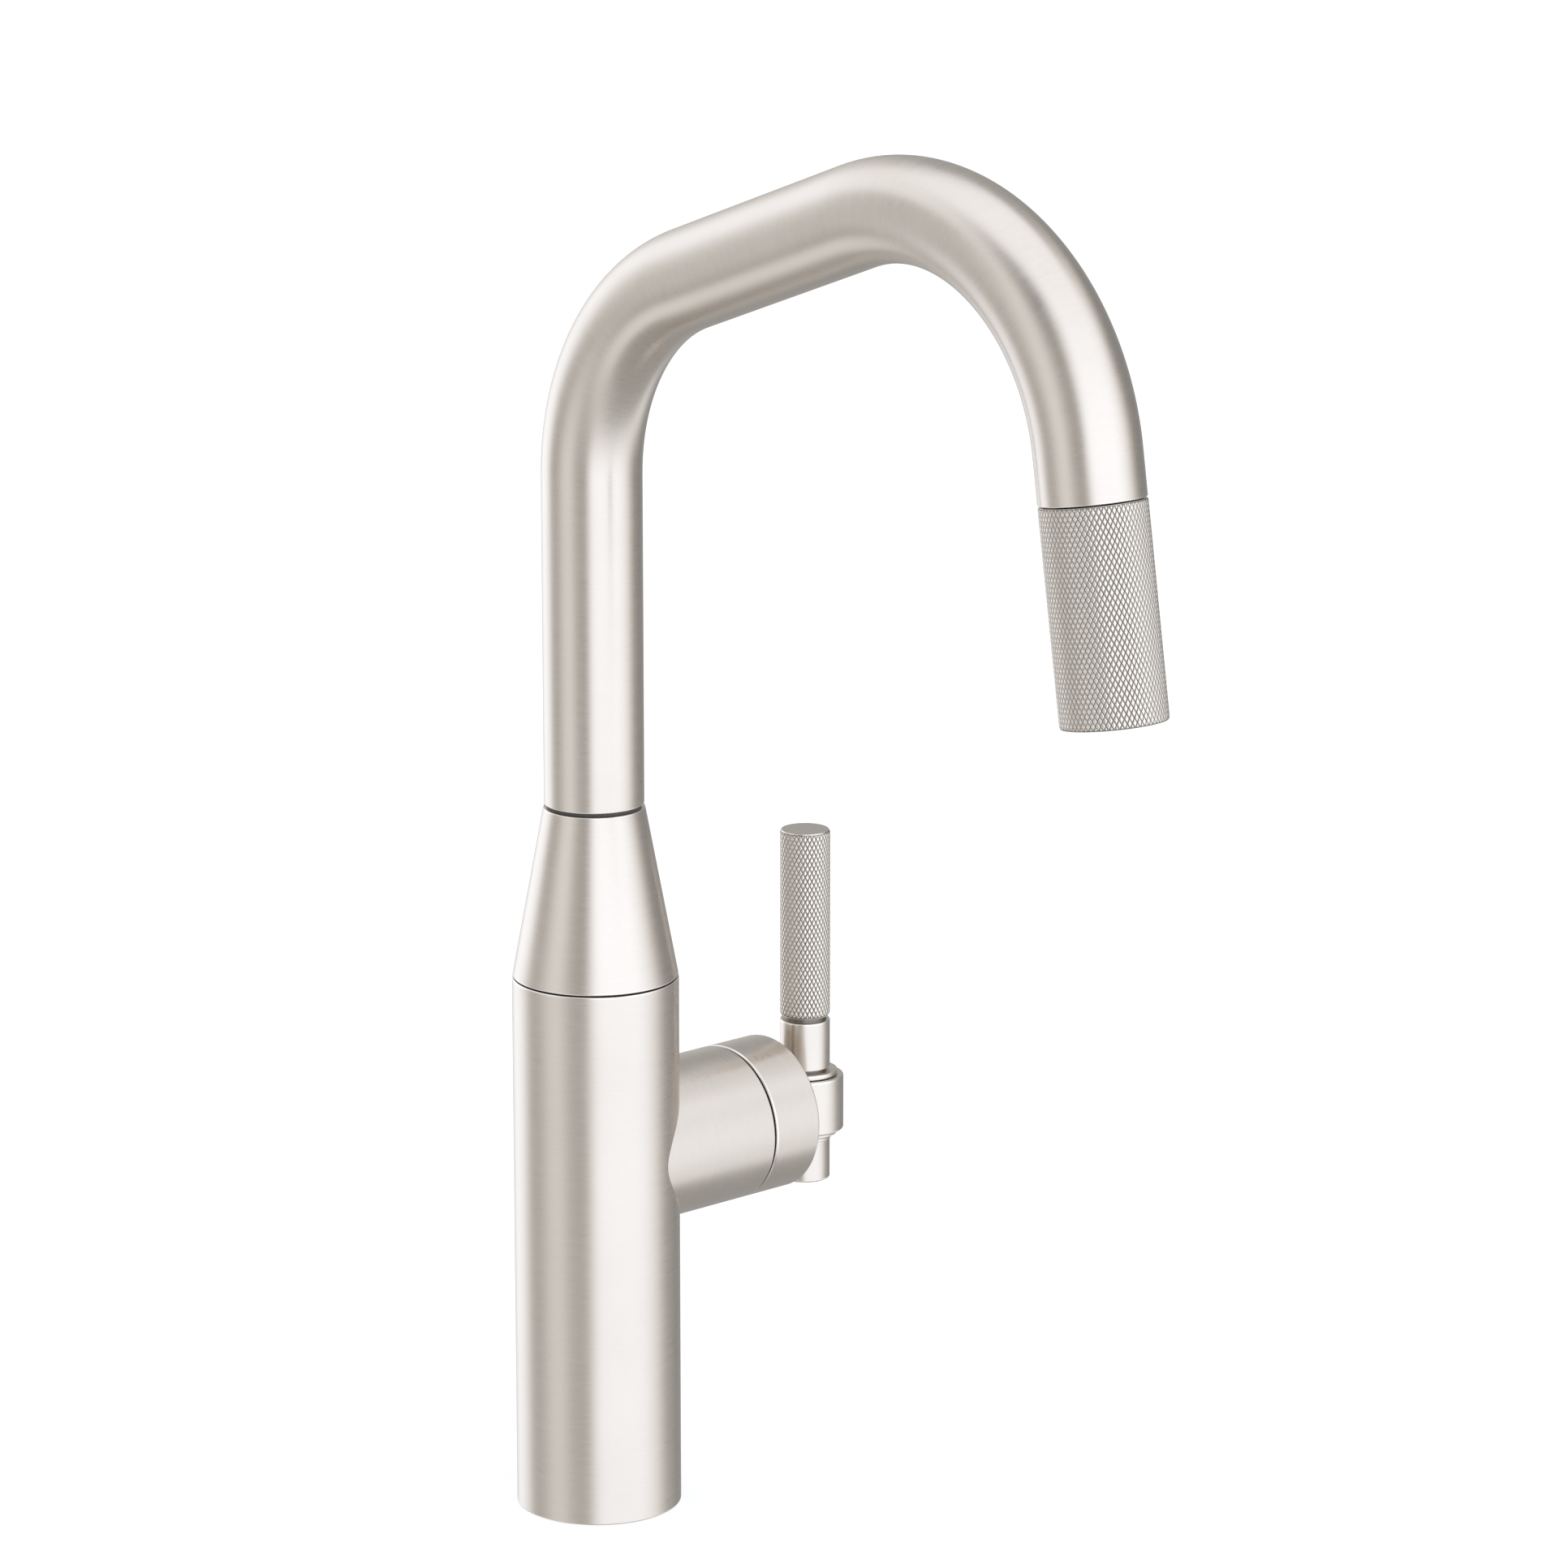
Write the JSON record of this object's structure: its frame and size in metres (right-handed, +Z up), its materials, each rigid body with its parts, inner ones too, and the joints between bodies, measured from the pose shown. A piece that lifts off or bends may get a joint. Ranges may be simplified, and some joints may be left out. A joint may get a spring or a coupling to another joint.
{
  "type": "pull down kitchen faucet",
  "caption": "Single lever kitchen faucet: column and cone, bent swivel spout, knurled pull down spray head, side arm with an upright knurled lever.",
  "frame": {"origin": "centre of the column's underside, where it stands on the deck", "axes": "+Z up along the column, +X the way the spout points at rest, +Y along the lever's arm"},
  "size_m": [0.2736, 0.1295, 0.5443],
  "materials": {
    "brushed_nickel": "satin brushed nickel",
    "brass": "machined",
    "steel": "zinc plated",
    "copper": null,
    "black_rubber": "moulded",
    "black_plastic": "moulded acetal",
    "white_plastic": "moulded acetal",
    "ceramic": "lapped alumina",
    "hose_braid": "braided nylon over a rubber liner",
    "grey_silicone": "moulded silicone",
    "blue_plastic": "moulded acetal",
    "green_plastic": "moulded acetal"
  },
  "bodies": {
    "base": {"column_body": "brushed_nickel", "base_gasket": "black_rubber", "base_ring": "brass", "mounting_shank": "brass", "rubber_washer": "black_rubber", "metal_washer": "steel", "mounting_nut": "brass", "nut_screws": "steel", "valve_body": "brass", "hot_supply_tube": "copper", "cold_supply_tube": "copper", "mixed_outlet_tube": "copper", "cartridge_seat": "brass", "cartridge_seals": "black_rubber", "cartridge_base": "white_plastic", "fixed_disc": "ceramic", "cartridge_housing": "white_plastic", "cartridge_nut": "brass", "cap_bush": "white_plastic", "cap_retaining_ring": "steel", "swivel_socket": "brass", "cone_shroud": "brushed_nickel", "swivel_bushes": "white_plastic", "thrust_washer": "white_plastic", "glide_ring": "black_plastic", "spout_retaining_screw": "steel"},
    "spout": {"spout_tube": "brushed_nickel", "spout_spigot": "brass", "swivel_o_rings": "black_rubber", "dock_collar": "black_plastic", "dock_magnet": "steel", "spray_hose": "hose_braid", "hose_end_nipple": "brass"},
    "spray_head": {"head_shell": "brushed_nickel", "head_neck": "black_plastic", "dock_plate": "steel", "hose_ferrule": "steel", "head_core": "black_plastic", "check_valve": "blue_plastic", "flow_regulator": "green_plastic", "core_o_ring": "black_rubber", "face_housing": "black_plastic", "aerator": "white_plastic", "spray_face": "grey_silicone"},
    "cap": {"cap_drum": "brushed_nickel", "stem_guide": "white_plastic", "pivot_pin": "steel"},
    "lever": {"lever_stem": "steel", "lever_collar": "brushed_nickel", "collar_upper_ring": "brushed_nickel", "collar_lower_ring": "brushed_nickel", "lever_rod": "steel", "lever_foot": "brushed_nickel", "lever_ferrule": "brushed_nickel", "lever_grip": "brushed_nickel", "collar_screw": "steel"},
    "disc": {"moving_disc": "ceramic", "disc_carrier": "white_plastic"}
  },
  "joints": [
    {"name": "spout_swivel", "type": "hinge", "parent": "base", "child": "spout", "pos_m": [0, 0, 0.2], "axis": [0, 0, 1], "continuous": true},
    {"name": "spray_pull", "type": "slide", "parent": "spout", "child": "spray_head", "axis": [0.1547, 0, -0.988], "range_m": [0, 0.28], "stiffness_N_per_m": 4, "springref_m": -1.5, "deforming": ["spray_hose"]},
    {"name": "mixer_turn", "type": "hinge", "parent": "base", "child": "cap", "pos_m": [0, 0.054, 0.116], "axis": [0, 1, 0], "range_deg": [-45, 45]},
    {"name": "flow_tilt", "type": "hinge", "parent": "cap", "child": "lever", "pos_m": [0, 0.054, 0.116], "axis": [-1, 0, 0], "range_deg": [0, 15]},
    {"name": "disc_slide", "type": "slide", "parent": "cap", "child": "disc", "axis": [0, 0, 1], "range_m": [0, 0.0028]}
  ],
  "couplings": [
    {"joint": "disc_slide", "follows": "flow_tilt", "m_per_rad": 0.01}
  ]
}
